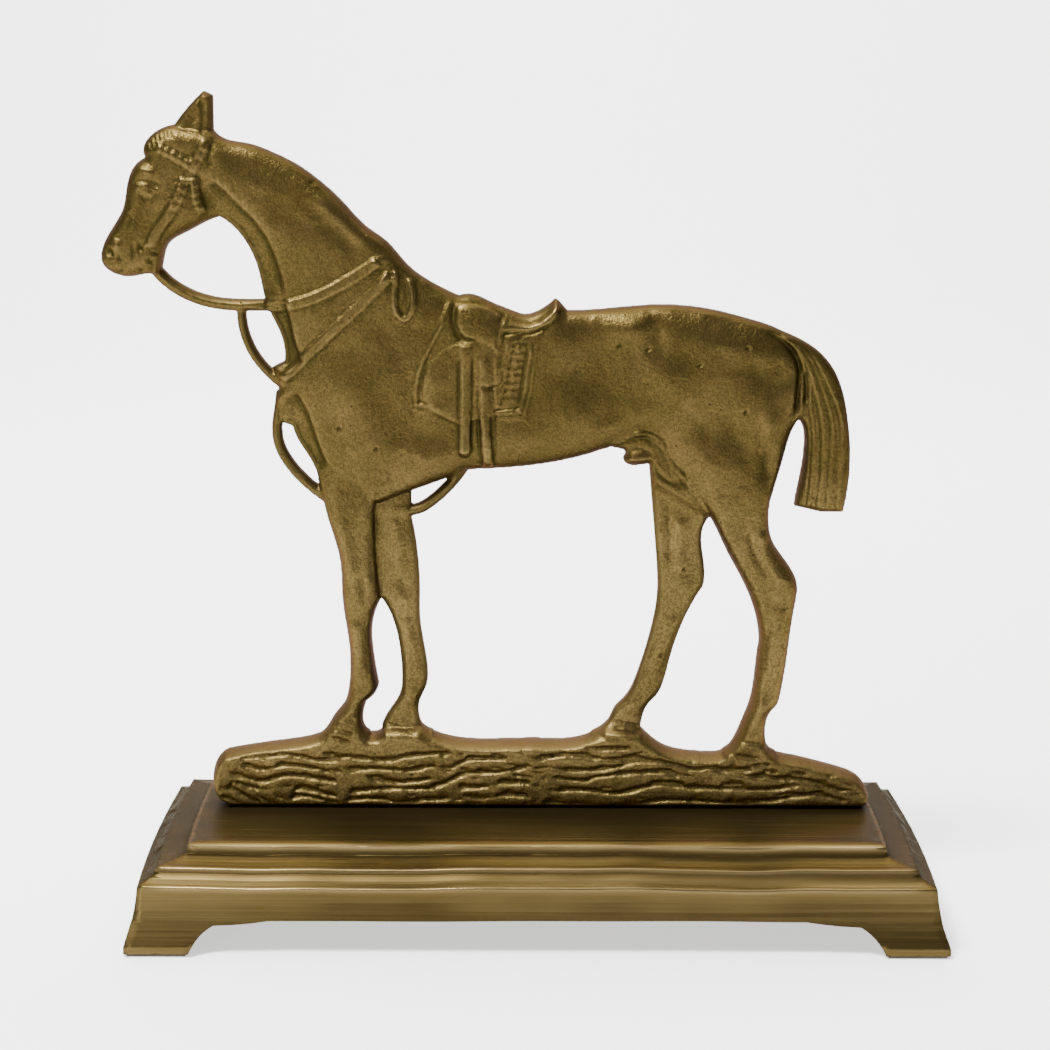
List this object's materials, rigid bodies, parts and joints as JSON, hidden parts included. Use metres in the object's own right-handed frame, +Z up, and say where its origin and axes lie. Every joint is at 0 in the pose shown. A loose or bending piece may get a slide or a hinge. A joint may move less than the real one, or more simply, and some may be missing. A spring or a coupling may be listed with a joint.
{
  "type": "horse statuette on plinth",
  "caption": "Flat-sided cast brass figure of a standing saddled racehorse on a log, screwed to a hollow stepped plinth with bracket feet.",
  "frame": {"origin": "middle of the whole object's footprint, on the surface that it stands on", "axes": "+X towards the tail, +Y towards the back, away from the side that the near legs are on, +Z up"},
  "size_m": [0.3475, 0.1464, 0.3412],
  "materials": {
    "cast_brass": "sand-cast, chemically aged to olive brown, high spots rubbed bright",
    "brushed_brass": "brushed along its length, antique brown, edges worn bright",
    "fixing_steel": "zinc plated",
    "felt": "pressed wool felt, dark brown"
  },
  "bodies": {
    "root": {"horse_casting": "cast_brass", "plinth": "brushed_brass", "fixing_screw_fore": "fixing_steel", "fixing_screw_hind": "fixing_steel", "spring_washer_fore": "fixing_steel", "spring_washer_hind": "fixing_steel", "plain_washer_fore": "fixing_steel", "plain_washer_hind": "fixing_steel", "felt_pad_front_left": "felt", "felt_pad_front_right": "felt", "felt_pad_rear_left": "felt", "felt_pad_rear_right": "felt"}
  },
  "joints": []
}
